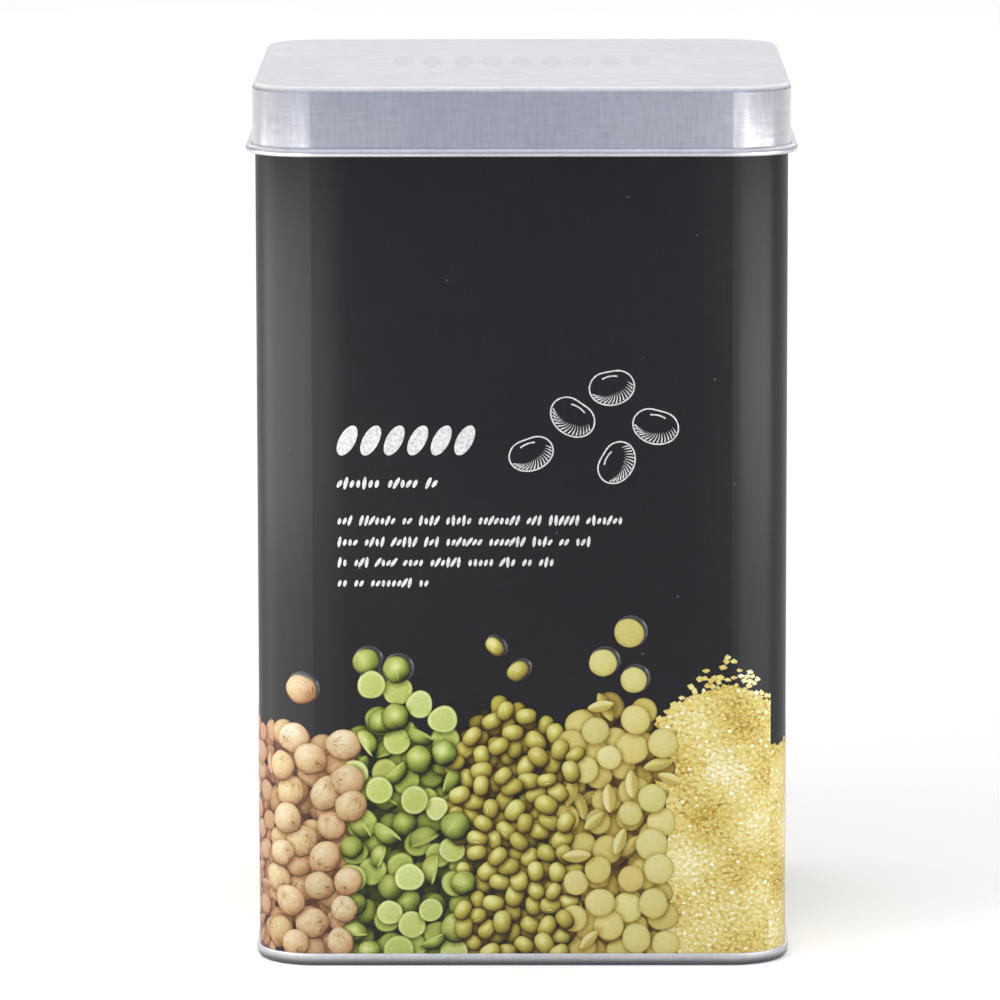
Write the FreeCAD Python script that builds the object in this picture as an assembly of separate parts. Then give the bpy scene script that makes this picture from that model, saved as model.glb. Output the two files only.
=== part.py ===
import FreeCAD, Part
import math
import os

# Square tinplate storage canister, shut by a slip lid. Millimetres, +Z up, front towards -Y.
# The origin is the middle of the footprint, on the surface that the canister stands on.
# Body, lid and base share the upright axes of the four corners, so each is one profile
# carried round the same rounded rectangle.

# Driving dimensions
LID_WIDTH = 117.0           # left to right, over the skirt's faces
LID_DEPTH = 117.0           # front to back, over the skirt's faces
LID_CORNER_RADIUS = 13.0    # upright corners of the skirt
HEIGHT = 193.2              # resting edge to the lid's top
LID_HEIGHT = 15.0           # lid's top to the underside of its curl
LID_EDGE_RADIUS = 1.2       # outside bend from top panel to skirt
SHEET = 0.3                 # tinplate
CURL_DIAMETER = 1.8         # rolled edge at the foot of the skirt
CURL_SWEEP = 305            # degrees of roll, which leave the raw edge tucked against the skirt
SLIP_GAP = 0.3              # between skirt and body wall
SEAM_PROUD = 0.8            # double seam beyond the body wall
SEAM_THICKNESS = 1.7
SEAM_CROWN_RADIUS = 2.4     # its bulging outer face
SEAM_CROWN_UP = 10          # degrees of that face above its widest line
SEAM_CROWN_DOWN = 50        # and below it
SEAM_EDGE_RADIUS = 0.5      # outer face into the top and into the resting edge
SEAM_INNER_RADIUS = 0.3     # resting edge into the inner wall
PANEL_RECESS = 2.0          # underside of the base panel above the resting edge
PANEL_BEND_RADIUS = 0.6     # base panel into the seam's inner wall
SIDE_SEAM_WIDTH = 4.0       # lock seam up the back of the body
SIDE_SEAM_PROUD = 0.25
SIDE_SEAM_SLOPE = 0.3       # width of its sloped edges
SIDE_SEAM_FROM_CORNER = 8.0  # its middle, from the start of the corner's bend

# Worked out from them
CORNER_X = LID_WIDTH / 2 - LID_CORNER_RADIUS
CORNER_Y = LID_DEPTH / 2 - LID_CORNER_RADIUS
BODY_RADIUS = LID_CORNER_RADIUS - SHEET - SLIP_GAP
BODY_BOTTOM = PANEL_RECESS + SHEET
BODY_TOP = HEIGHT - SHEET
BODY_EDGE_RADIUS = LID_EDGE_RADIUS - SHEET
CURL_CENTRE_HEIGHT = HEIGHT - LID_HEIGHT + CURL_DIAMETER / 2
SEAM_OUTER_RADIUS = BODY_RADIUS + SEAM_PROUD
SEAM_INSET = SEAM_CROWN_RADIUS - SEAM_EDGE_RADIUS
SEAM_WIDEST = SEAM_EDGE_RADIUS + SEAM_INSET * math.cos(math.radians(90 - SEAM_CROWN_DOWN))
SEAM_HEIGHT = SEAM_WIDEST + SEAM_INSET * math.sin(math.radians(SEAM_CROWN_UP)) + SEAM_EDGE_RADIUS

ORIGIN = FreeCAD.Vector(0, 0, 0)
UP = FreeCAD.Vector(0, 0, 1)


class Profile:
    """Closed outline in the XZ plane, with X measured outwards from a corner's upright axis."""

    def __init__(self, x, z):
        self.start = FreeCAD.Vector(x, 0, z)
        self.end = self.start
        self.edges = []

    def line(self, x, z):
        """Run straight to a point."""
        target = FreeCAD.Vector(x, 0, z)
        self.edges.append(Part.makeLine(self.end, target))
        self.end = target

    def arc(self, centre_x, centre_z, degrees):
        """Turn about a centre, anticlockwise with X to the right and Z up."""
        across = self.end.x - centre_x
        rise = self.end.z - centre_z
        points = [self.end]
        for share in (0.5, 1.0):
            angle = math.radians(degrees * share)
            x = centre_x + across * math.cos(angle) - rise * math.sin(angle)
            z = centre_z + across * math.sin(angle) + rise * math.cos(angle)
            points.append(FreeCAD.Vector(x, 0, z))
        self.edges.append(Part.Arc(*points).toShape())
        self.end = points[-1]

    def face(self):
        """Close the outline and fill it."""
        self.edges.append(Part.makeLine(self.end, self.start))
        return Part.Face(Part.Wire(self.edges))


def carried_round(face, low, high):
    """Carry a profile that starts at the corner axes round the plan, and fill between the axes.

    low and high are the heights of the profile where it meets the corner axes.
    """
    middle = FreeCAD.Vector(-CORNER_X, -CORNER_Y, low)
    filling = Part.makeBox(2 * CORNER_X, 2 * CORNER_Y, high - low, middle)
    pieces = []
    corners = ((1, 1), (-1, 1), (-1, -1), (1, -1))
    runs = (2 * CORNER_Y, 2 * CORNER_X, 2 * CORNER_Y, 2 * CORNER_X)
    for quarter, ((sign_x, sign_y), run) in enumerate(zip(corners, runs)):
        corner = FreeCAD.Vector(sign_x * CORNER_X, sign_y * CORNER_Y, 0)
        turn = FreeCAD.Rotation(UP, 90 * quarter)
        section = face.copy()
        section.Placement = FreeCAD.Placement(corner, turn)
        pieces.append(section.revolve(corner, UP, 90))
        pieces.append(section.extrude(turn.multVec(FreeCAD.Vector(0, -run, 0))))
    return filling.multiFuse(pieces).removeSplitter()


def body():
    """Closed body with its lock seam, solid up to the underside of the lid's top panel."""
    outline = Profile(0, BODY_BOTTOM)
    outline.line(BODY_RADIUS, BODY_BOTTOM)
    outline.line(BODY_RADIUS, BODY_TOP - BODY_EDGE_RADIUS)
    outline.arc(BODY_RADIUS - BODY_EDGE_RADIUS, BODY_TOP - BODY_EDGE_RADIUS, 90)
    outline.line(0, BODY_TOP)
    walls = carried_round(outline.face(), BODY_BOTTOM, BODY_TOP)
    return walls.fuse(side_seam()).removeSplitter()


def side_seam():
    """Flattened lock seam that joins the body's sheet, up the back beside a corner."""
    middle = -(CORNER_X - SIDE_SEAM_FROM_CORNER)
    wall = CORNER_Y + BODY_RADIUS
    foot = SIDE_SEAM_WIDTH / 2
    crest = foot - SIDE_SEAM_SLOPE
    section = ((-foot, -SHEET), (foot, -SHEET), (foot, 0), (crest, SIDE_SEAM_PROUD),
               (-crest, SIDE_SEAM_PROUD), (-foot, 0), (-foot, -SHEET))
    points = [FreeCAD.Vector(middle + x, wall + y, SEAM_HEIGHT) for x, y in section]
    top = BODY_TOP - BODY_EDGE_RADIUS
    return Part.Face(Part.makePolygon(points)).extrude(UP * (top - SEAM_HEIGHT))


def base():
    """Base end: a recessed panel and the double seam that stands round the foot of the body."""
    inner = SEAM_OUTER_RADIUS - SEAM_THICKNESS
    bend = PANEL_BEND_RADIUS
    crown_x = SEAM_OUTER_RADIUS - SEAM_CROWN_RADIUS
    lower_x = crown_x + SEAM_INSET * math.cos(math.radians(SEAM_CROWN_DOWN))
    upper_x = crown_x + SEAM_INSET * math.cos(math.radians(SEAM_CROWN_UP))
    outline = Profile(0, PANEL_RECESS)
    outline.line(inner - bend, PANEL_RECESS)
    outline.arc(inner - bend, PANEL_RECESS - bend, -90)
    outline.line(inner, SEAM_INNER_RADIUS)
    outline.arc(inner + SEAM_INNER_RADIUS, SEAM_INNER_RADIUS, 90)
    outline.line(lower_x, 0)
    outline.arc(lower_x, SEAM_EDGE_RADIUS, 90 - SEAM_CROWN_DOWN)
    outline.arc(crown_x, SEAM_WIDEST, SEAM_CROWN_DOWN + SEAM_CROWN_UP)
    outline.arc(upper_x, SEAM_HEIGHT - SEAM_EDGE_RADIUS, 90 - SEAM_CROWN_UP)
    outline.line(BODY_RADIUS, SEAM_HEIGHT)
    outline.line(BODY_RADIUS, BODY_BOTTOM)
    outline.line(0, BODY_BOTTOM)
    return carried_round(outline.face(), PANEL_RECESS, BODY_BOTTOM)


def lid():
    """Drawn slip lid: flat top, skirt, and the skirt's edge rolled outwards into a curl."""
    outside = LID_CORNER_RADIUS
    inside = outside - SHEET
    bend_x = outside - LID_EDGE_RADIUS
    bend_z = HEIGHT - LID_EDGE_RADIUS
    curl_x = inside + CURL_DIAMETER / 2
    curl_z = CURL_CENTRE_HEIGHT
    roll = math.radians(180 + CURL_SWEEP)
    curl_bore = CURL_DIAMETER / 2 - SHEET
    outline = Profile(0, HEIGHT - SHEET)
    outline.line(bend_x, HEIGHT - SHEET)
    outline.arc(bend_x, bend_z, -90)
    outline.line(inside, curl_z)
    outline.arc(curl_x, curl_z, CURL_SWEEP)
    outline.line(curl_x + curl_bore * math.cos(roll), curl_z + curl_bore * math.sin(roll))
    outline.arc(curl_x, curl_z, -CURL_SWEEP)
    outline.line(outside, bend_z)
    outline.arc(bend_x, bend_z, 90)
    outline.line(0, HEIGHT)
    return carried_round(outline.face(), HEIGHT - SHEET, HEIGHT)


def main():
    os.makedirs("parts", exist_ok=True)
    for make in (body, base, lid):
        shape = make()
        solids = len(shape.Solids)
        volume = shape.Volume / 1000
        print(f"{make.__name__}: {solids} solid, {len(shape.Faces)} faces, {volume:.2f} cm3, "
              f"valid {shape.isValid()}")
        shape.exportStep(f"parts/{make.__name__}.step")


main()
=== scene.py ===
import math
from collections import namedtuple

import bpy
import numpy as np
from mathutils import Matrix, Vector


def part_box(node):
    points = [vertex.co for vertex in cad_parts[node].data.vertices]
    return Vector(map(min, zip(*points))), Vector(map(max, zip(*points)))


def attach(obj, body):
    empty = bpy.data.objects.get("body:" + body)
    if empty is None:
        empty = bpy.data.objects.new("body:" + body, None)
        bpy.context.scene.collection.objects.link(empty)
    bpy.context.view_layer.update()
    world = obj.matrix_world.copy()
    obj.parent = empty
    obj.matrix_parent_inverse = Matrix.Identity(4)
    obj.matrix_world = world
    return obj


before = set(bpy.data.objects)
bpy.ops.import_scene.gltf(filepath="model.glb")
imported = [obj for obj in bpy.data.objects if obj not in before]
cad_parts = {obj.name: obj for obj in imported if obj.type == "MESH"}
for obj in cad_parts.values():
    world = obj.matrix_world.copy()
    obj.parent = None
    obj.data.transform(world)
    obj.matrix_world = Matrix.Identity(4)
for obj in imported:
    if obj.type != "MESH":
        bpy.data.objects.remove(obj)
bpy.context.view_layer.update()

# A square tinplate storage canister: satin black lacquer with a printed band of pulses round its
# foot, bare tinplate lid and base seam. Lengths are in metres in the frame's axes, and the print
# is laid out in millimetres on the tin's unrolled wall: "along" runs to the right round the tin
# from the middle of a panel, "up" is the height above the table.
MM = 0.001
SEED = 20


# ---------------------------------------------------------------------------- the tin's wall

SEAM_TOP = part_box("base")[1].z
LID_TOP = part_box("lid")[1].z
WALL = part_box("body")[1].x / MM        # from the upright axis to a flat face
CORNER = 12.4                          # radius of the body's upright corners
FLAT = WALL - CORNER                   # half of a flat face
PANEL = 2 * FLAT + math.pi / 2 * CORNER  # a quarter of the girth, from mid-corner to mid-corner
PRINT_LOW = SEAM_TOP / MM - 0.2        # the print runs down behind the base seam
FRONT, RIGHT, BACK, LEFT = range(4)


def on_wall(panel, along, up, out):
    """Points on a panel of the wall, out millimetres proud of it, in metres."""
    along, up, out = np.broadcast_arrays(*(np.asarray(v, float) for v in (along, up, out)))
    side = np.sign(along)
    bend = np.clip(np.abs(along) - FLAT, 0, None) / CORNER
    straight = np.clip(along, -FLAT, FLAT)
    reach = CORNER + out
    x = straight + side * reach * np.sin(bend)
    y = -(FLAT + reach * np.cos(bend))
    turn = panel * math.pi / 2
    places = (x * math.cos(turn) - y * math.sin(turn), x * math.sin(turn) + y * math.cos(turn), up)
    return np.stack(places, axis=-1) * MM


# ---------------------------------------------------------------------------- small helpers

def linear(*tone):
    """A display colour, 0 to 255, as the light it stands for."""
    share = np.asarray(tone, float) / 255
    return np.where(share <= 0.04045, share / 12.92, ((share + 0.055) / 1.055) ** 2.4)


def ease(low, high, value):
    """Smooth step from 0 at low to 1 at high."""
    t = np.clip((np.asarray(value, float) - low) / (high - low), 0, 1)
    return t * t * (3 - 2 * t)


def add_piece(name, points, faces, material, paint, crease):
    """Make a mesh piece that rides with the tin. paint, if any, is one colour a vertex."""
    mesh = bpy.data.meshes.new(name)
    mesh.from_pydata(np.asarray(points).tolist(), [], faces)
    if paint is not None:
        layer = mesh.color_attributes.new("paint", "FLOAT_COLOR", "POINT")
        rgba = np.ones((len(paint), 4))
        rgba[:, :3] = paint
        layer.data.foreach_set("color", rgba.ravel())
    mesh.materials.append(material)
    mesh.shade_smooth()
    mesh.set_sharp_from_angle(angle=math.radians(crease))
    piece = bpy.data.objects.new(name, mesh)
    bpy.context.scene.collection.objects.link(piece)
    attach(piece, "root")
    return piece


class Gathered:
    """Points, faces and paint that go into one piece."""

    def __init__(self):
        self.points, self.faces, self.paint = [], [], []
        self.count = 0

    def add(self, points, faces, paint=None):
        """Add a patch, whose faces count from its own first point."""
        self.points.append(points)
        self.faces += [tuple(self.count + v for v in face) for face in faces]
        self.count += len(points)
        if paint is not None:
            self.paint.append(paint)

    def piece(self, name, material, slot, crease=40):
        """Make the piece."""
        paint = np.vstack(self.paint) if self.paint else None
        add_piece(name, np.vstack(self.points), self.faces, material, paint, crease)


class Finish:
    """A Principled material and the nodes that drive it."""

    def __init__(self, name, **sockets):
        self.material = bpy.data.materials.new(name)
        self.material.use_nodes = True
        self.tree = self.material.node_tree
        self.shader = self.tree.nodes["Principled BSDF"]
        for socket, value in sockets.items():
            self.shader.inputs[socket.replace("_", " ")].default_value = value

    def node(self, kind, links=None, **settings):
        """Add a node. links maps its inputs to values or to other nodes' outputs."""
        made = self.tree.nodes.new("ShaderNode" + kind)
        for name, value in settings.items():
            setattr(made, name, value)
        for name, value in (links or {}).items():
            self.feed(made.inputs[name], value)
        return made

    def feed(self, socket, value):
        """Link an output to a socket, or set its value."""
        if isinstance(value, bpy.types.NodeSocket):
            self.tree.links.new(value, socket)
        else:
            socket.default_value = value

    def shade(self, **links):
        """Drive the shader's own sockets."""
        for socket, value in links.items():
            self.feed(self.shader.inputs[socket.replace("_", " ")], value)

    def places(self, stretch=(1, 1, 1)):
        """Object coordinates, scaled along each axis."""
        where = self.node("TexCoord").outputs["Object"]
        return self.node("Mapping", {"Vector": where, "Scale": stretch}).outputs["Vector"]

    def noise(self, scale, stretch=(1, 1, 1), detail=3.0, roughness=0.55):
        """Noise of about 0 to 1 over the object."""
        links = {"Vector": self.places(stretch), "Scale": scale, "Detail": detail,
                 "Roughness": roughness}
        return self.node("TexNoise", links).outputs["Fac"]

    def weave(self, scale, stretch):
        """Fine upright and level threads, of about 0 to 1. stretch is small for long threads."""
        upright = self.noise(scale, (1, 1, stretch), 2.0)
        level = self.noise(scale, (stretch, stretch, 1), 2.0)
        return self.maths("MULTIPLY", self.maths("ADD", upright, level), 0.5)

    def ramp(self, value, *stops):
        """Colour by value. Each stop is (position, colour)."""
        made = self.node("ValToRGB", {"Fac": value})
        while len(made.color_ramp.elements) < len(stops):
            made.color_ramp.elements.new(1.0)
        for element, (position, colour) in zip(made.color_ramp.elements, stops):
            element.position = position
            element.color = (*colour, 1)
        return made.outputs["Color"]

    def remap(self, value, low, high, to_low, to_high):
        """Stretch a range of values to another, clamped."""
        links = {"Value": value, "From Min": low, "From Max": high, "To Min": to_low,
                 "To Max": to_high}
        return self.node("MapRange", links).outputs["Result"]

    def maths(self, operation, first, second=0.0):
        """Work out a value from one or two others."""
        made = self.node("Math", operation=operation)
        self.feed(made.inputs[0], first)
        self.feed(made.inputs[1], second)
        return made.outputs["Value"]

    def mix(self, share, first, second, blend="MIX"):
        """Blend two colours."""
        made = self.node("Mix", data_type="RGBA", blend_type=blend)
        self.feed(made.inputs["Factor"], share)
        self.feed(made.inputs["A"], first)
        self.feed(made.inputs["B"], second)
        return made.outputs["Result"]

    def bump(self, height, depth, under=None):
        """Raise the surface by height, 0 to 1, times depth in metres, over another bump."""
        links = {"Height": height, "Distance": depth}
        if under:
            links["Normal"] = under
        return self.node("Bump", links).outputs["Normal"]

    def eased_corners(self, flat, reach, drop):
        """A flat-sided wall that bows gently into its corners, within reach of the flats' ends."""
        sides = self.node("SeparateXYZ", {"Vector": self.places()}).outputs
        low = 0.0
        for axis in "XY":
            away = self.maths("ABSOLUTE", sides[axis])
            ends = {"Value": away, "From Min": flat - reach, "From Max": flat + reach}
            fall = self.node("MapRange", ends, interpolation_type="SMOOTHSTEP")
            low = self.maths("ADD", low, fall.outputs["Result"])
        return self.bump(self.maths("SUBTRACT", 2.0, low), drop)


# ---------------------------------------------------------------------------- finishes

BLACK = (0.0052, 0.0048, 0.0062)
METAL = (0.685, 0.685, 0.705)
DUST = (0.055, 0.055, 0.06)
BOW_REACH = 8.0              # the flat walls bow into their corners within this of their ends
BOW_DROP = 0.9               # by this much


def black_lacquer(name, specular, roughness):
    """Satin black with a faint cross-hatched sheen and a few pale dust specks."""
    f = Finish(name, Specular_IOR_Level=specular)
    weave = f.weave(3200, 0.05)
    bow = f.eased_corners(FLAT * MM, BOW_REACH * MM, BOW_DROP * MM)
    cloud = f.noise(22, detail=2.0)
    tone = f.remap(weave, 0.35, 0.65, 0.72, 1.3)
    base = f.mix(1.0, (*BLACK, 1), tone, "MULTIPLY")
    cells = f.node("TexVoronoi", {"Vector": f.places(), "Scale": 260.0})
    lucky = f.node("SeparateColor", {"Color": cells.outputs["Color"]}).outputs["Red"]
    dot = f.maths("LESS_THAN", cells.outputs["Distance"], 0.075)
    speck = f.maths("MULTIPLY", dot, f.maths("GREATER_THAN", lucky, 0.80))
    f.shade(Base_Color=f.mix(speck, base, (*DUST, 1)),
            Roughness=f.remap(cloud, 0.3, 0.7, *roughness),
            Normal=f.bump(weave, 0.0012 * MM, bow))
    return f.material


def satin_tinplate(name, roughness, painted_shade_below=None):
    """Bare tinplate with a very fine woven grain and faint cloudy patches.

    Its colour is painted darker round its bends, a painted shade that dims their highlights, and it is
    rougher there. Given a height, it is painted darker towards the foot below it, a painted shade for
    the shadowed floor it reflects there.
    """
    f = Finish(name, Metallic=1.0)
    weave = f.weave(1900, 0.10)
    cloud = f.noise(60, detail=4.0)
    shade = f.maths("ADD", f.remap(weave, 0.2, 0.8, -0.20, 0.20), f.remap(cloud, 0.0, 1.0, 0.96, 1.04))
    # Painted shade: the colour darkens towards the foot, for the shadowed floor that the seam reflects
    # there.
    if painted_shade_below:
        height = f.node("SeparateXYZ", {"Vector": f.places()}).outputs["Z"]
        shade = f.maths("MULTIPLY", shade, f.remap(height, 0.3 * painted_shade_below, painted_shade_below, 0.26, 1.05))
    facing = f.node("NewGeometry").outputs["Normal"]
    tilt = f.maths("ABSOLUTE", f.node("SeparateXYZ", {"Vector": facing}).outputs["Z"])
    bend = f.maths("MULTIPLY", tilt, f.maths("SUBTRACT", 1.0, tilt))
    # Painted shade: the colour is darker halfway round each bend, dimming the highlights there; the
    # bends are rougher too.
    shade = f.maths("MULTIPLY", shade, f.remap(bend, 0.0, 0.25, 1.0, 0.82))
    rough = f.maths("ADD", f.remap(cloud, 0.0, 1.0, *roughness), f.remap(bend, 0.0, 0.25, 0.0, 0.22))
    f.shade(Base_Color=f.mix(1.0, (*METAL, 1), shade, "MULTIPLY"), Roughness=rough,
            Normal=f.bump(weave, 0.0008 * MM))
    return f.material


def printed_ink(name, grain, mottle):
    """Printed pulses under the tin's varnish: painted colours with a fine mottle of that grain."""
    f = Finish(name, Roughness=0.34, Specular_IOR_Level=0.3)
    paint = f.node("Attribute", attribute_name="paint").outputs["Color"]
    fine = f.noise(grain, detail=4.0, roughness=0.65)
    tone = f.remap(fine, 0.3, 0.7, 1 - mottle, 1 + mottle)
    f.shade(Base_Color=f.mix(1.0, paint, tone, "MULTIPLY"), Normal=f.bump(fine, 0.003 * MM))
    return f.material


def white_ink():
    """Thin white print that lets a little of the black through its grain."""
    f = Finish("white_ink", Roughness=0.4, Specular_IOR_Level=0.3)
    worn = f.noise(1800, detail=3.0)
    f.shade(Base_Color=f.ramp(worn, (0.3, (0.34, 0.34, 0.34)), (0.6, (0.60, 0.60, 0.59))))
    return f.material


# ---------------------------------------------------------------------------- pulses

# Tones from deep shade to highlight, as displayed.
TONES = {
    "chickpea": ((84, 58, 46), (158, 118, 84), (194, 162, 122), (211, 190, 152), (230, 219, 196)),
    "split_pea": ((38, 42, 26), (98, 108, 50), (148, 160, 80), (182, 192, 110), (218, 224, 166)),
    "mung": ((36, 30, 24), (98, 84, 42), (154, 140, 66), (186, 178, 88), (222, 220, 156)),
    "lentil": ((78, 58, 32), (150, 130, 64), (186, 172, 96), (204, 194, 122), (224, 218, 166)),
    "red_lentil": ((96, 62, 52), (146, 100, 78), (164, 120, 92), (178, 138, 110), (194, 170, 144)),
    "grits": ((150, 106, 44), (198, 168, 84), (219, 203, 120), (230, 219, 148), (250, 246, 226)),
}
LIGHT = np.array((-0.30, 0.46, 0.84))   # the printed light: along, up, out
LIGHT = LIGHT / np.linalg.norm(LIGHT)
INK_GAIN = np.array((0.74, 0.73, 0.67))  # paint against the light that falls on the wall
INK_HAZE = 0.02                         # and against the sheen that lies over it


def tinted(kind, tone):
    """Paint for tones of 0 to 1."""
    steps = np.array([linear(*t) for t in TONES[kind]]) - INK_HAZE
    at = np.clip(tone, 0, 1) * (len(steps) - 1)
    paint = [np.interp(at, range(len(steps)), steps[:, channel]) for channel in range(3)]
    return np.clip(np.stack(paint, axis=-1), 0.001, None) * INK_GAIN


def disc(rings, segments):
    """Unit disc as x, y and radius of its points, and its faces, the middle point first."""
    radius = np.concatenate([[0.0], np.repeat(rings, segments)])
    angle = np.concatenate([[0.0], np.tile(np.arange(segments) * 2 * math.pi / segments, len(rings))])
    faces = [(0, 1 + i, 1 + (i + 1) % segments) for i in range(segments)]
    for ring in range(len(rings) - 1):
        low = 1 + ring * segments
        for i in range(segments):
            j = (i + 1) % segments
            faces.append((low + i, low + segments + i, low + segments + j, low + j))
    return radius * np.cos(angle), radius * np.sin(angle), radius, faces


def round_tone(x, y, light, roundness, ambient=0.18):
    """Shade of a domed seed. roundness 1 is a ball, less is flatter."""
    tilt_x, tilt_y = x * roundness, y * roundness
    facing = np.sqrt(np.clip(1 - tilt_x ** 2 - tilt_y ** 2, 0, 1))
    lit = np.clip(tilt_x * light[0] + tilt_y * light[1] + facing * light[2], 0, 1)
    return ambient + (0.86 - ambient) * lit


def spot(x, y, at_x, at_y, size):
    """Soft round spot."""
    return np.exp(-((x - at_x) ** 2 + (y - at_y) ** 2) / size ** 2)


# A painter gives a seed's tone, 0 to 1, at its points: x, y and radius in its own half sizes, with
# light as the way to the light in the same axes.

def chickpea(form, radius, x, y, light, rng):
    """Wrinkled ball, sunk round its beak."""
    tone = round_tone(x, y, light, 0.92, 0.16)
    return tone - 0.20 * spot(x, y, 0.5, 0.0, 0.30) + 0.04 * rng.normal(size=x.shape)


def split_pea(form, radius, x, y, light, rng):
    """Cut face with a pale rim, round green back, or a half seen from its side."""
    slope = x * light[0] + y * light[1]
    rim = ease(0.74, 0.86, radius) * (1 - ease(0.93, 1.0, radius))
    face = 0.78 + 0.10 * slope + 0.13 * rim - 0.16 * ease(0.94, 1.0, radius)
    if form == "face":
        return face + 0.02 * rng.normal(size=x.shape)
    haze = spot(x, y, 0.35 * light[0], 0.35 * light[1], 0.5)
    dents = np.sin(3.1 * x + 2.3 * y + rng.uniform(0, 6))
    dents = dents * np.sin(2.7 * y - 1.9 * x + rng.uniform(0, 6))
    back = round_tone(x, y, light, 0.94, 0.0) * 0.78 + 0.24 * haze + 0.09 * dents
    if form == "half":
        return np.where(y < 0, 0.76, back)
    return back + 0.02 * rng.normal(size=x.shape)


def mung(form, radius, x, y, light, rng):
    """Glossy bean."""
    tone = round_tone(x, y, light, 0.95, 0.12)
    return 1.08 * tone + 0.10 * spot(x, y, 0.5 * light[0], 0.5 * light[1], 0.28)


def lentil(form, radius, x, y, light, rng):
    """Flat lens with a darker edge, or the two slopes of one seen edge on."""
    if form == "edge":
        return 0.68 + 0.22 * np.tanh(5 * y * np.sign(light[1])) + 0.02 * rng.normal(size=x.shape)
    slope = x * light[0] + y * light[1]
    tone = 0.83 + 0.18 * slope - 0.12 * radius ** 4
    return tone - 0.12 * ease(0.9, 1.0, radius) + 0.02 * rng.normal(size=x.shape)


# A kind of pulse: its painter, size in mm, the unevenness of its outline, how far its beak sticks
# out, how square its shoulders are, and the forms it is seen in with their shares.
Kind = namedtuple("Kind", "painter length width uneven beak shoulders forms shares")
KINDS = {
    "chickpea": Kind(chickpea, 6.9, 6.4, 0.03, 0.10, 0.0, ("ball",), (1,)),
    "split_pea": Kind(split_pea, 6.1, 5.9, 0.03, 0.0, 0.0, ("face", "back", "half"), (0.38, 0.34, 0.28)),
    "mung": Kind(mung, 4.9, 3.7, 0.012, 0.0, 0.07, ("plain", "scarred"), (0.8, 0.2)),
    "lentil": Kind(lentil, 6.3, 6.2, 0.02, 0.0, 0.0, ("face", "edge"), (0.76, 0.24)),
    "red_lentil": Kind(lentil, 4.6, 4.5, 0.02, 0.0, 0.0, ("face", "edge"), (0.75, 0.25)),
}
# Forms that are not whole rounds: their width, their lower half's share of it and their pointedness.
FORMS = {"half": (0.84, 0.30, 0.0), "edge": (0.45, 1.0, 0.30)}
# Layers of a heap from the wall outwards: gap between centres against a seed's width, how far it
# stops below the top in mm, how bright it is, and the rings and segments of its seeds.
Layer = namedtuple("Layer", "gap low bright rings segments")
LAYERS = (
    Layer(0.64, 2.6, 0.14, (0.6, 1), 12),
    Layer(0.78, 1.2, 0.52, (0.4, 0.75, 1), 16),
    Layer(0.82, 0.4, 0.82, (0.3, 0.6, 0.85, 1), 20),
    Layer(0.86, 0.0, 1.00, (0.25, 0.5, 0.74, 0.86, 0.94, 1), 24),
)
# A raised seed lies alone, on a finer mesh that follows the sheet's curve.
RAISED = Layer(0, 0, 1.0, tuple(np.linspace(0.08, 1, 14)), 48)
MARK_LIFT = 0.0008           # each mark on a seed lies this far above the last
MARK_SIDES = 8


def marks_of(seed, rng):
    """Ovals drawn on a seed: place, half length and width in its half sizes, turn, change of tone."""
    if seed.form == "ball":
        steps = (-0.20, 0.08, -0.14, -0.24, 0.10, -0.12, -0.18, 0.06)
        fan = rng.uniform(-1.2, 1.2, len(steps))
        away = rng.uniform(0.35, 1.0, len(steps))
        return [(0.45, 0.05, 0.12, 0.07, 0.4, -0.28)] + [
            (0.85 - far * math.cos(a), far * math.sin(a), rng.uniform(0.14, 0.34), 0.045, -a, step)
            for a, far, step in zip(fan, away, steps)]
    if seed.form == "scarred":
        return [(0.0, 0.40, 0.40, 0.17, 0.0, -0.16), (0.0, 0.44, 0.34, 0.08, 0.0, 0.34)]
    if seed.form == "back" and rng.random() < 0.4:
        return [(0.3, rng.uniform(-0.5, 0.5), 0.34, 0.09, rng.uniform(0.5, 2.5), 0.12)]
    if seed.form == "face" and seed.kind == "split_pea":
        return [(0.84, 0.0, 0.13, 0.06, rng.uniform(-0.5, 0.5), 0.18)]
    return []


class Seed:
    """One printed seed: its kind and form, layer, place on a panel, half sizes and turn."""

    def __init__(self, kind, form, layer, along, up, rng):
        self.kind, self.form, self.layer = kind, form, layer
        self.along, self.up = along, up
        wide, self.lower, self.point = FORMS.get(form, (1.0, 1.0, 0.0))
        grown = 1 + 0.07 * np.clip(rng.normal(), -1.8, 1.8)
        self.half_length = KINDS[kind].length / 2 * grown
        self.half_width = KINDS[kind].width / 2 * grown * wide * (1 + 0.04 * rng.normal())
        self.reach = (self.half_length + self.half_width) / 2
        self.turn = rng.uniform(0, 2 * math.pi)
        self.bright = layer.bright * (1 + 0.06 * rng.normal())
        self.level = 0

    def local(self, along, up):
        """Places in the seed's own half sizes: x along it, y across it."""
        across, rise = along - self.along, up - self.up
        c, s = math.cos(self.turn), math.sin(self.turn)
        y = (rise * c - across * s) / self.half_width
        return (across * c + rise * s) / self.half_length, np.where(y < 0, y / self.lower, y)

    def inside(self, along, up):
        """1 on this seed's outline, less within it."""
        return np.hypot(*self.local(along, up))

    def on_panel(self, x, y):
        """Places on the panel from the seed's own half sizes."""
        c, s = math.cos(self.turn), math.sin(self.turn)
        length = x * self.half_length
        width = np.where(y < 0, y * self.lower, y) * (1 - self.point * x ** 2) * self.half_width
        return self.along + length * c - width * s, self.up + length * s + width * c


def heap_top(heap, along):
    """Height of a heap's top."""
    return np.interp(along, *zip(*heap.outline))


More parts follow.
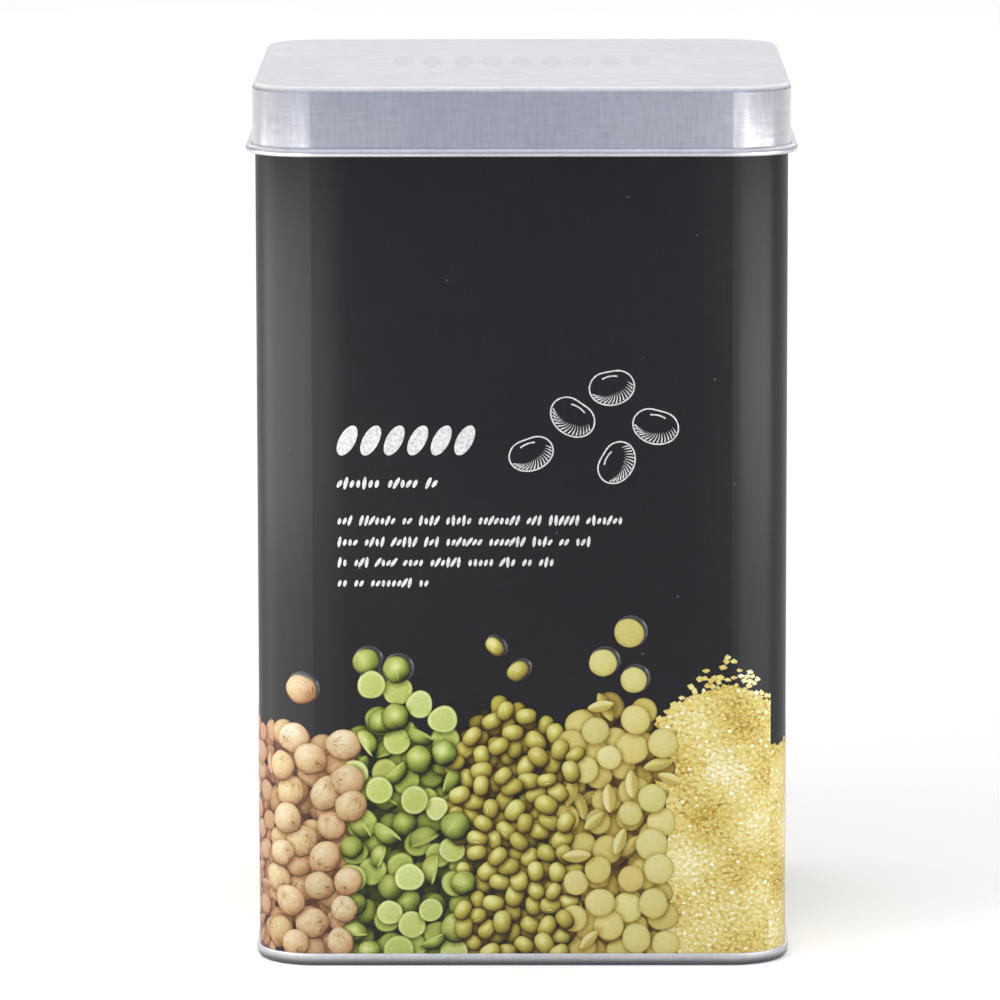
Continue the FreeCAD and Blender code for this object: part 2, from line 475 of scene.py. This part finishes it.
def scattered(rng, heap, gap, low, inset=0.0, loose=0.0):
    """Places in a heap, no two nearer than gap: low below its top and inset from its sides.

    Some lie loose above the top, near the peak.
    """
    peak_at, peak = max(heap.outline, key=lambda knot: knot[1])
    peak += loose
    tries = int((heap.right - heap.left) * peak / gap ** 2 * 16)
    kept = np.empty((0, 2))
    alongs = rng.uniform(heap.left + inset, heap.right - inset, tries)
    strays = rng.normal(0, STRAY, tries)
    for along, up, stray in zip(alongs, rng.uniform(PRINT_LOW, peak, tries), strays):
        spread = loose * rng.random() ** 3 * math.exp(-((along - peak_at) / 8.5) ** 2)
        if up > heap_top(heap, along) - low + spread:
            continue
        sway = SWAY * math.sin(up / SWAY_LENGTH + along / 15)
        along += (sway + stray) * (1 - (along / PANEL_EDGE) ** 2)
        if len(kept) and np.hypot(kept[:, 0] - along, kept[:, 1] - up).min() < gap:
            continue
        kept = np.vstack([kept, (along, up)])
    return kept


# ---------------------------------------------------------------------------- layout

PANEL_EDGE = PANEL / 2
LAP = 3.2                    # the front and back prints' seeds reach this far round onto the sides
LAP_LIFT = 0.06              # and lie this far above the sides' print
SWAY, SWAY_LENGTH = 0.9, 8.0  # the heaps' shared edges wander
STRAY = 0.8                  # and single seeds stray over them
# Heaps of a panel: kind, left and right edge, and the outline of the top as (along, up).
Heap = namedtuple("Heap", "kind left right outline")
FRONT_HEAPS = (
    Heap("chickpea", -PANEL_EDGE, -38.0, ((-57, 55.5), (-49, 55), (-43, 53.5), (-36, 52))),
    Heap("split_pea", -38.0, -13.5, ((-38, 52), (-35, 53), (-32, 59), (-28, 59), (-21, 55), (-14, 54))),
    Heap("mung", -13.5, 10.7, ((-14, 50), (-9, 54), (-6.7, 60.5), (-1, 59), (4, 56), (10.7, 50))),
    Heap("lentil", 10.7, 31.0, ((10, 51), (12.5, 58.5), (18.3, 62.5), (26.5, 60.5), (29, 56), (32, 53))),
    Heap("grits", 30.2, PANEL_EDGE, ((30, 54.5), (33, 58), (38, 61), (45, 63), (49, 62), (53.5, 59))),
)
SIDE_HEAPS = (
    Heap("grits", -PANEL_EDGE, -32.0, ((-56, 48.6), (-46, 49), (-38, 54), (-32, 51))),
    Heap("lentil", -32.0, -9.0, ((-32, 52), (-26, 58), (-19, 61.5), (-12, 57), (-9, 51))),
    Heap("mung", -9.0, 13.0, ((-9, 50), (-3, 57), (4, 58.5), (13, 51))),
    Heap("split_pea", 13.0, 37.0, ((13, 51), (20, 60), (27, 61), (33, 56), (37, 53))),
    Heap("red_lentil", 37.0, PANEL_EDGE, ((37, 52), (44, 57.5), (50, 54), (56, 57))),
)
# Seeds set down one by one: kind, form, along, up, and whether the sheet is raised under it.
FRONT_SET = (
    ("split_pea", "face", -27.2, 61.4, False), ("split_pea", "face", -22.4, 58.2, False),
    ("split_pea", "face", -17.3, 54.9, False), ("split_pea", "back", -27.6, 55.4, False),
    ("chickpea", "ball", -48.3, 61.5, True),
    ("split_pea", "back", -34.0, 67.6, True), ("split_pea", "back", -27.4, 65.9, True),
    ("split_pea", "face", -32.9, 62.6, True),
    ("mung", "scarred", -5.9, 70.9, True), ("mung", "scarred", -0.9, 65.5, True),
    ("lentil", "face", 23.3, 74.0, True), ("lentil", "face", 17.6, 67.4, True),
    ("lentil", "face", 24.3, 63.6, True),
)
SIDE_SET = (
    ("lentil", "face", -23.0, 70.5, True), ("lentil", "face", -16.0, 66.6, True),
    ("mung", "scarred", 5.4, 65.5, True), ("mung", "scarred", -0.6, 69.6, True),
    ("split_pea", "back", 20.5, 71.0, True), ("split_pea", "face", 27.5, 67.4, True),
    ("red_lentil", "face", 43.4, 65.0, False), ("red_lentil", "face", 38.6, 61.6, False),
)
PANELS = {
    FRONT: (FRONT_HEAPS, FRONT_SET),
    RIGHT: (SIDE_HEAPS, SIDE_SET),
    BACK: (FRONT_HEAPS, FRONT_SET),
    LEFT: (SIDE_HEAPS, SIDE_SET),
}
# Layers of the grits from the wall outwards: gap between grains, their half size, how far below the
# heap's top they stop or some lie loose above it, and how bright they are.
GrainLayer = namedtuple("GrainLayer", "gap size low loose bright")
GRAIN_LAYERS = (
    GrainLayer(0.82, 1.40, 1.2, 0.0, 0.40),
    GrainLayer(1.0, 0.85, 0.7, 0.0, 0.52),
    GrainLayer(1.05, 0.72, 0.4, 6.5, 0.64),
    GrainLayer(1.25, 0.55, 1.0, 0.0, 0.72),
)
GRAIN_CORNERS = 5
GLINTS = 0.05                # share of glinting grains in the upper layers
GRAIN_LIFT = 0.04            # the grits lie over the lowest lentils
GRAIN_STEP = 0.006           # and each layer of them over another
LOOSE_GRAINS = ((2.2, 8.3), (2.0, 6.1))  # above the middle of the heap's top
RAISE = 0.36                 # height of the raised seeds
RAISE_SLOPE = 0.42           # width of their sloping edge
RAISE_SHIFT = (0.50, 0.38)   # the press sits a little off the print
RAISE_MARGIN = 0.28          # raised outline beyond the printed one
RAISE_LIFT = 0.03            # ink over the raised sheet's curved edge
SHEET_SINK = 0.004           # the raised sheet's foot runs just under the wall's face
INK = 0.02                   # the lowest print above the wall
INK_STEP = 0.007             # and each print above another
SHADE_REACH = 1.1            # a seed shades what lies under it this far round
SHADE_SHIFT = 0.5            # away from the light by this much


def raised(bumps, along, up):
    """How far the raised seeds lift the sheet at these places."""
    lift = np.zeros(np.broadcast(along, up).shape)
    for seed in bumps:
        away = seed.inside(along - RAISE_SHIFT[0], up - RAISE_SHIFT[1]) * seed.reach
        inwards = seed.reach + RAISE_MARGIN - away
        lift = np.maximum(lift, RAISE * ease(0, 1, inwards / RAISE_SLOPE))
    return lift


def stack(seeds):
    """Give overlapping seeds levels, the later above the earlier."""
    places = np.array([(s.along, s.up) for s in seeds])
    reach = np.array([s.half_length for s in seeds])
    levels = np.zeros(len(seeds), int)
    for i, seed in enumerate(seeds[1:], start=1):
        apart = np.hypot(*(places[:i] - places[i]).T)
        under = levels[:i][apart < reach[:i] + reach[i]]
        levels[i] = under.max() + 1 if len(under) else 0
        seed.level = levels[i]


def contact_shade(later, along, up):
    """Shade that the seeds above cast at these places."""
    shade = np.ones(along.shape)
    for other in later:
        size = min(other.half_length, other.half_width)
        away = (other.inside(along + SHADE_SHIFT * LIGHT[0], up + SHADE_SHIFT * LIGHT[1]) - 1) * size
        near = np.clip(1 - away / SHADE_REACH, 0, 1)
        shade = shade * (1 - 0.62 * near ** 2)
    return shade


def hidden(seed, later):
    """Whether the seeds above cover this one."""
    x, y, _, _ = disc((0.55, 0.97), 10)
    along, up = seed.on_panel(x, y)
    covered = np.zeros(x.shape, bool)
    for other in later:
        covered |= other.inside(along, up) < 0.95
    return covered.all()


def drawn(seed, rng):
    """A seed in its half sizes: x, y and radius of its points, faces, and the marks' tone and lift."""
    x, y, radius, faces = disc((*seed.layer.rings, 1.0), seed.layer.segments)
    marks = marks_of(seed, rng) if seed.layer.bright >= 1 else []
    a = np.arange(MARK_SIDES) * 2 * math.pi / MARK_SIDES
    change, lift = [np.zeros(x.shape)], [np.zeros(x.shape)]
    for i, (at_x, at_y, half_length, half_width, turn, step) in enumerate(marks, start=1):
        u, v = half_length * np.cos(a), half_width * np.sin(a)
        faces.append(tuple(range(len(x), len(x) + MARK_SIDES)))
        x = np.append(x, at_x + u * math.cos(turn) - v * math.sin(turn))
        y = np.append(y, at_y + u * math.sin(turn) + v * math.cos(turn))
        change.append(np.full(MARK_SIDES, step))
        lift.append(np.full(MARK_SIDES, MARK_LIFT * i))
    radius = np.append(radius, np.zeros(MARK_SIDES * len(marks)))
    return x, y, radius, faces, np.concatenate(change), np.concatenate(lift)


def paint_seed(seed, later, panel, bumps, rng):
    """Points, faces and paint of one printed seed, a thin pat of ink that meets the wall."""
    kind = KINDS[seed.kind]
    x, y, radius, faces, change, lift = drawn(seed, rng)
    c, s = math.cos(seed.turn), math.sin(seed.turn)
    light = (LIGHT[0] * c + LIGHT[1] * s, LIGHT[1] * c - LIGHT[0] * s, LIGHT[2])
    tone = kind.painter(seed.form, radius, x, y, light, rng) + change
    angle = np.arctan2(y, x)
    outline = 1 + kind.beak * np.exp(-(angle / 0.35) ** 2) + kind.shoulders * np.sin(2 * angle) ** 2
    for wave in (2, 3, 5):
        swell = kind.uneven * rng.normal() * np.cos(wave * angle + rng.uniform(0, 6.3))
        outline += swell / wave ** 0.5
    along, up = seed.on_panel(x * outline, y * outline)
    along, up = np.clip(along, -PANEL_EDGE - LAP, PANEL_EDGE), np.clip(up, PRINT_LOW, None)
    tone = tone * seed.bright * contact_shade(later, along, up) - 0.16 * ease(0.88, 1.0, radius)
    out = raised(bumps, along, up) + INK + INK_STEP * seed.level + lift
    out += LAP_LIFT * (panel in (FRONT, BACK)) + RAISE_LIFT * (seed.layer is RAISED)
    # The outermost ring comes down to the wall.
    rim = 1 + len(seed.layer.rings) * seed.layer.segments
    out[rim:rim + seed.layer.segments] = 0
    hue = 1 + 0.014 * rng.normal(size=3)
    return on_wall(panel, along, up, out), faces, tinted(seed.kind, tone) * hue


def heaped_seeds(heaps, rng):
    """The seeds of a panel's heaps in the order they are printed."""
    seeds = []
    for layer in LAYERS:
        fresh = []
        for heap in heaps:
            if heap.kind == "grits":
                continue
            kind = KINDS[heap.kind]
            gap, low = kind.width * layer.gap, kind.width / 2 + layer.low
            for along, up in scattered(rng, heap, gap, low, 0.8 * layer.low):
                form = kind.forms[rng.choice(len(kind.forms), p=kind.shares)]
                fresh.append(Seed(heap.kind, form, layer, along, up, rng))
        seeds += [fresh[i] for i in rng.permutation(len(fresh))]
    return seeds


def set_seeds(placed, rng):
    """The seeds that are set down one by one, over the heaps."""
    return [Seed(kind, form, RAISED if on_bump else LAYERS[-1], along, up, rng)
            for kind, form, along, up, on_bump in placed]


def seen_seeds(seeds):
    """Each seed that isn't covered, with the later seeds near it."""
    places = np.array([(s.along, s.up) for s in seeds])
    reach = np.array([s.half_length for s in seeds])
    for i, seed in enumerate(seeds):
        apart = np.hypot(*(places[i + 1:] - places[i]).T)
        near = apart < reach[i + 1:] + reach[i] + SHADE_REACH + SHADE_SHIFT
        later = [seeds[j] for j in np.flatnonzero(near) + i + 1]
        if not hidden(seed, later):
            yield seed, later


def printed_pulses():
    """The seeds of the print that aren't covered, a piece for each kind and panel."""
    rng = np.random.default_rng(SEED)
    inks = {}
    for kind in KINDS:
        inks[kind] = printed_ink(kind + "_ink", 1400, 0.10 if kind == "chickpea" else 0.06)
    bumps_of = {}
    for panel, (heaps, placed) in PANELS.items():
        seeds = heaped_seeds(heaps, rng) + set_seeds(placed, rng)
        bumps_of[panel] = bumps = [seed for seed in seeds if seed.layer is RAISED]
        stack(seeds)
        prints = {heap.kind: Gathered() for heap in heaps if heap.kind != "grits"}
        for seed, later in seen_seeds(seeds):
            prints[seed.kind].add(*paint_seed(seed, later, panel, bumps, rng))
        for kind, gathered in prints.items():
            gathered.piece(f"print_{kind}_{panel}", inks[kind], "black_lacquer")
    return bumps_of


def grain(along, up, size, rng):
    """A broken grain: its corners and middle on the panel."""
    shares = np.sort(rng.uniform(0, 0.7, GRAIN_CORNERS)) + np.arange(GRAIN_CORNERS)
    turns = shares * 2 * math.pi / GRAIN_CORNERS
    reach = size * rng.uniform(0.6, 1.0, GRAIN_CORNERS)
    stretch = rng.uniform(0.7, 1.0)
    all_along = np.append(along + reach * np.cos(turns), along)
    all_up = np.append(up + reach * np.sin(turns) * stretch, up)
    return np.clip(all_along, -PANEL_EDGE - 0.5, PANEL_EDGE), np.clip(all_up, PRINT_LOW, None)


def drift(along, up):
    """Light and dark drifts through a heap of grits, from -3 to 3."""
    waves = (along / 3.1 + up / 7, up / 2.6 - along / 5, (along + up) / 4.3)
    return sum(math.sin(wave) for wave in waves)


def in_clump(along, up):
    """Whether a place above a heap is in one of the clumps that its loose grains lie in."""
    return math.sin(1.9 * along) + math.sin(1.5 * up) >= -0.3


def grain_places(rng, heap, layer):
    """Places of a layer's grains, with the few that lie well above the heap."""
    places = scattered(rng, heap, layer.gap, layer.low, 0, layer.loose)
    if layer.loose:
        middle = (heap.left + heap.right) / 2
        top = heap_top(heap, middle)
        places = np.vstack([places, [(middle + a, top + b) for a, b in LOOSE_GRAINS]])
    return places


def paint_grain(along, up, depth, level, panel, rng):
    """Points, faces and paint of one grain of a layer, depth below the heap's top."""
    layer = GRAIN_LAYERS[level]
    loose = depth < 0
    all_along, all_up = grain(along, up, layer.size * (1.35 if loose else 1.0), rng)
    tone = layer.bright + 0.09 * drift(along, up) - 0.12 * math.exp(-max(depth, 0) / 6)
    facets = tone + 0.15 * rng.normal(size=GRAIN_CORNERS + 1) + 0.10 * loose
    if level >= 2 and rng.random() < GLINTS:
        facets += 0.45
    out = GRAIN_LIFT + GRAIN_STEP * (level + rng.random())
    faces = [(i, (i + 1) % GRAIN_CORNERS, GRAIN_CORNERS) for i in range(GRAIN_CORNERS)]
    return on_wall(panel, all_along, all_up, out), faces, tinted("grits", facets)


def printed_grits():
    """The heaps of broken yellow grain, a piece for each panel."""
    rng = np.random.default_rng(SEED + 1)
    ink = printed_ink("grits_ink", 2200, 0.08)
    for panel, (heaps, _) in PANELS.items():
        heap = next(h for h in heaps if h.kind == "grits")
        gathered = Gathered()
        for level, layer in enumerate(GRAIN_LAYERS):
            for along, up in grain_places(rng, heap, layer):
                depth = heap_top(heap, along) - up
                if depth >= -1 or in_clump(along, up):
                    gathered.add(*paint_grain(along, up, depth, level, panel, rng))
        gathered.piece(f"print_grits_{panel}", ink, "black_lacquer")


def raised_sheet(bumps_of, lacquer):
    """The lacquered sheet that is pressed out round each raised seed."""
    gathered = Gathered()
    x, y, _, faces = disc((0.3, 0.6, *np.linspace(0.76, 1, 14)), 56)
    for panel, bumps in bumps_of.items():
        for bump in bumps:
            larger = 1 + RAISE_MARGIN / bump.reach
            along, up = bump.on_panel(x * larger, y * larger)
            along, up = along + RAISE_SHIFT[0], up + RAISE_SHIFT[1]
            gathered.add(on_wall(panel, along, up, raised(bumps, along, up) - SHEET_SINK), faces)
    gathered.piece("raised_sheet", lacquer, "black_lacquer", crease=180)


# ---------------------------------------------------------------------------- line print

class Strokes(Gathered):
    """Thin flat strokes and spots of ink on the wall, or on the lid's top."""

    def __init__(self, place):
        super().__init__()
        self.place = place

    def line(self, xs, ys, width):
        """A stroke along points. width is one for all or one a point."""
        xs, ys = np.asarray(xs, float), np.asarray(ys, float)
        way = np.stack([np.gradient(xs), np.gradient(ys)])
        way = way / np.linalg.norm(way, axis=0)
        half = np.broadcast_to(np.asarray(width, float) / 2, xs.shape)
        left = self.place(xs - way[1] * half, ys + way[0] * half)
        right = self.place(xs + way[1] * half, ys - way[0] * half)
        n = len(xs)
        self.add(np.vstack([left, right]), [(i, n + i, n + i + 1, i + 1) for i in range(n - 1)])

    def spot(self, x, y, half_length, half_width, turn, sides):
        """A filled oval."""
        a = np.arange(sides) * 2 * math.pi / sides
        c, s = math.cos(turn), math.sin(turn)
        u, v = half_length * np.cos(a), half_width * np.sin(a)
        self.add(self.place(x + u * c - v * s, y + u * s + v * c), [range(sides)])

    def bean(self, x, y, half_length, half_width, turn):
        """An outlined bean hatched from its shaded side inwards, with a curved scar."""
        c, s = math.cos(turn), math.sin(turn)

        def set_down(u, v):
            return x + u * c - v * s, y + u * s + v * c

        a = np.linspace(0, 2 * math.pi, 41)
        dent = 1 - 0.12 * np.exp(-((a - math.pi / 2) / 0.5) ** 2)
        self.line(*set_down(half_length * np.cos(a), half_width * dent * np.sin(a)), STROKE)
        inwards = np.linspace(0, 1, 8)
        for start in np.linspace(-2.9, -0.1, HATCHES):
            reach = 0.92 - (0.16 + 0.40 * math.sin(-start)) * inwards
            b = start + 0.35 * inwards
            hatch = set_down(half_length * reach * np.cos(b), half_width * reach * np.sin(b))
            self.line(*hatch, STROKE * (1.05 - inwards))
        b = np.linspace(1.1, 2.1, 10)
        self.line(*set_down(half_length * 0.72 * np.cos(b), half_width * 0.62 * np.sin(b)), STROKE)


# Outlined beans beside the heading: along, up, half length, half width, turn in degrees.
DRAWN_BEANS = (
    (2.0, 113.5, 4.9, 3.7, 20), (11.0, 121.5, 5.1, 4.0, -35), (20.5, 111.5, 4.8, 3.8, 60),
    (19.5, 128.0, 4.9, 3.9, 10), (29.0, 119.5, 5.0, 3.9, -15),
)
STROKE = 0.32                # width of their lines
HATCHES = 15
HEADING = (-37.9, 116.4, 6)  # the row of large grains: the first one's place, and how many
HEADING_PITCH = 5.1
HEADING_GRAIN = (3.6, 1.75)  # half length and width
HEADING_TILT = math.radians(62)
# Rows of small grains, from one left edge: height, length and half length of a grain.
ROWS_LEFT = -40.1
ROWS = (
    (106.9, 22.0, 1.0),
    (98.7, 61.5, 0.85), (94.0, 54.6, 0.85), (89.5, 47.0, 0.85), (85.0, 20.0, 0.85),
)
# The row on the lid: how many grains, their pitch, half length and width, and their place.
MARK_COUNT = 9
MARK_PITCH = 6.6
MARK_GRAIN = (12.5, 2.3)
MARK_BACK = 1.5              # behind the lid's middle
MARK_INK = 0.002             # above the lid


def line_print(panel, rng, ink):
    """White ornament: a row of large grains, rows of small ones and the drawn beans."""
    strokes = Strokes(lambda along, up: on_wall(panel, along, up, INK))
    first, height, count = HEADING
    for i in range(count):
        strokes.spot(first + HEADING_PITCH * i, height, *HEADING_GRAIN, HEADING_TILT, 24)
    for up, length, size in ROWS:
        along, left_in_word = ROWS_LEFT + size / 2, 0
        while along < ROWS_LEFT + length:
            left_in_word = left_in_word or rng.integers(2, 9)
            tall = size * rng.choice((0.9, 1.0, 1.45))
            tilt = math.radians(rng.uniform(52, 88))
            strokes.spot(along, up + 0.3 * (tall - size), tall, 0.45 * size, tilt, 10)
            left_in_word -= 1
            along += size * (1.35 if left_in_word else 2.9)
    for along, up, half_length, half_width, turn in DRAWN_BEANS:
        strokes.bean(along, up, half_length, half_width, math.radians(turn))
    strokes.piece(f"line_print_{panel}", ink, "black_lacquer")


def lid_mark(ink):
    """Faint grey row of long grains on the lid's top."""
    height = LID_TOP + MARK_INK * MM

    def place(x, y):
        return np.stack([x * MM, y * MM, np.full(x.shape, height)], axis=-1)

    strokes = Strokes(place)
    for i in range(MARK_COUNT):
        along = MARK_PITCH * (i - (MARK_COUNT - 1) / 2)
        strokes.spot(along, MARK_BACK, *MARK_GRAIN, math.radians(90), 24)
    strokes.piece("lid_mark", ink, "lid_tinplate")


def grey_ink():
    """Faint grey print on the lid."""
    f = Finish("grey_ink", Metallic=1.0, Roughness=0.25)
    worn = f.noise(900, detail=3.0)
    f.shade(Base_Color=f.ramp(worn, (0.35, (0.58, 0.57, 0.58)), (0.65, (0.66, 0.65, 0.66))))
    return f.material


# ---------------------------------------------------------------------------- the studio

WARM = (1.0, 0.985, 0.955)
AMBER = (1.0, 0.97, 0.87)
COOL = (0.87, 0.92, 1.16)
ROOM = 0.38                    # brightness of the room itself
# Upright cards: name, near and far corner of the plan, low and high edge, brightness, and colour
# where it isn't WARM.
CARDS = (
    ("card_left_low", (-0.067, -0.170), (-0.186, 0.0), 0.010, 0.080, 1.7),
    ("card_left", (-0.067, -0.170), (-0.186, 0.0), 0.080, 0.150, 3.5),
    ("card_left_top", (-0.067, -0.170), (-0.186, 0.0), 0.150, 0.164, 3.2),
    ("card_left_high", (-0.067, -0.170), (-0.186, 0.0), 0.172, 0.30, 0.15),
    ("card_right_low", (0.110, -0.194), (0.168, -0.060), 0.010, 0.080, 1.6),
    ("card_right", (0.110, -0.194), (0.168, -0.060), 0.080, 0.150, 3.6),
    ("card_right_top", (0.110, -0.194), (0.168, -0.060), 0.150, 0.164, 3.6),
    ("card_right_high", (0.063, -0.170), (0.105, -0.164), 0.160, 0.30, 0.42),
    ("card_right_front", (0.062, -0.300), (0.100, -0.270), 0.125, 0.165, 0.7),
    ("backdrop", (-2.6, 3.4), (2.6, 3.4), 0.1, 1.8, 0.44, AMBER),
)
# Softboxes: name, place, aim, width and height, brightness, colour.
SOFTBOXES = (
    ("overhead", (0.0, 1.28, 1.05), (0.0, 1.28, 0.0), (4.6, 3.55), 0.97, AMBER),
    ("front_high", (-0.2, -1.4, 1.5), (0.0, 0.0, 0.08), (2.5, 1.75), 0.6, COOL),
)


def add_floor():
    """Pale plain floor."""
    reach = 12.0
    mesh = bpy.data.meshes.new("floor")
    corners = [(-reach, -reach, 0), (reach, -reach, 0), (reach, reach, 0), (-reach, reach, 0)]
    mesh.from_pydata(corners, [], [(0, 1, 2, 3)])
    f = Finish("pale_floor", Roughness=0.9, Specular_IOR_Level=0.1)
    cloud = f.noise(3.0, detail=2.0)
    f.shade(Base_Color=f.ramp(cloud, (0.3, (0.88, 0.88, 0.87)), (0.7, (0.90, 0.90, 0.89))))
    mesh.materials.append(f.material)
    floor = bpy.data.objects.new("floor", mesh)
    bpy.context.scene.collection.objects.link(floor)


def add_softbox(name, place, aim, size, level, colour=WARM):
    """Soft light at place, facing aim, as bright as level times white. It is unseen itself."""
    light = bpy.data.lights.new(name, "AREA")
    light.shape = "RECTANGLE"
    light.size, light.size_y = size
    light.energy = level * math.pi * size[0] * size[1]
    light.color = colour
    lamp = bpy.data.objects.new(name, light)
    bpy.context.scene.collection.objects.link(lamp)
    lamp.location = place
    lamp.rotation_euler = (Vector(aim) - Vector(place)).to_track_quat("-Z", "Y").to_euler()
    lamp.visible_camera = False


def add_card(name, near, far, low, high, level, colour=WARM):
    """Upright light card beside the tin, from one point of the floor plan to another."""
    near, far = Vector(near), Vector(far)
    middle = ((near + far) / 2).to_3d()
    middle.z = (low + high) / 2
    along = (far - near).to_3d().normalized()
    facing = along.cross(Vector((0, 0, 1)))
    if facing.dot(middle) > 0:
        facing = -facing
    add_softbox(name, middle, middle + facing, ((far - near).length, high - low), level, colour)


def add_lights():
    """A dim room, light cards close beside the tin, and a bright floor and backdrop behind it."""
    world = bpy.data.worlds.new("room")
    world.use_nodes = True
    room = world.node_tree.nodes["Background"].inputs
    room["Color"].default_value = (*COOL, 1)
    room["Strength"].default_value = ROOM
    bpy.context.scene.world = world
    for card in CARDS:
        add_card(*card)
    for softbox in SOFTBOXES:
        add_softbox(*softbox)


def add_camera():
    """Long lens from just above the lid's height."""
    camera = bpy.data.cameras.new("camera")
    camera.lens = 254.15
    camera.sensor_width = 36
    camera.clip_end = 50
    view = bpy.data.objects.new("camera", camera)
    view.location = (2.12 * MM, -1572.4 * MM, 339.8 * MM)
    view.rotation_euler = [math.radians(a) for a in (81.125, 0.094, 0.246)]
    bpy.context.scene.collection.objects.link(view)
    bpy.context.scene.camera = view


# ---------------------------------------------------------------------------- assembly

def set_finish(node, material):
    """Give a CAD node its finish."""
    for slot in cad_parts[node].material_slots:
        slot.material = material


def main():
    set_finish("body", black_lacquer("black_lacquer", 0.32, (0.30, 0.38)))
    set_finish("lid", satin_tinplate("lid_tinplate", (0.20, 0.27)))
    set_finish("base", satin_tinplate("seam_tinplate", (0.28, 0.36), SEAM_TOP))
    bumps_of = printed_pulses()
    printed_grits()
    raised_sheet(bumps_of, black_lacquer("raised_lacquer", 1.0, (0.14, 0.20)))
    ink = white_ink()
    rng = np.random.default_rng(SEED + 2)
    for panel in (FRONT, BACK):
        line_print(panel, rng, ink)
    lid_mark(grey_ink())
    add_floor()
    add_lights()
    add_camera()
    bpy.context.scene.view_settings.view_transform = "Standard"


main()
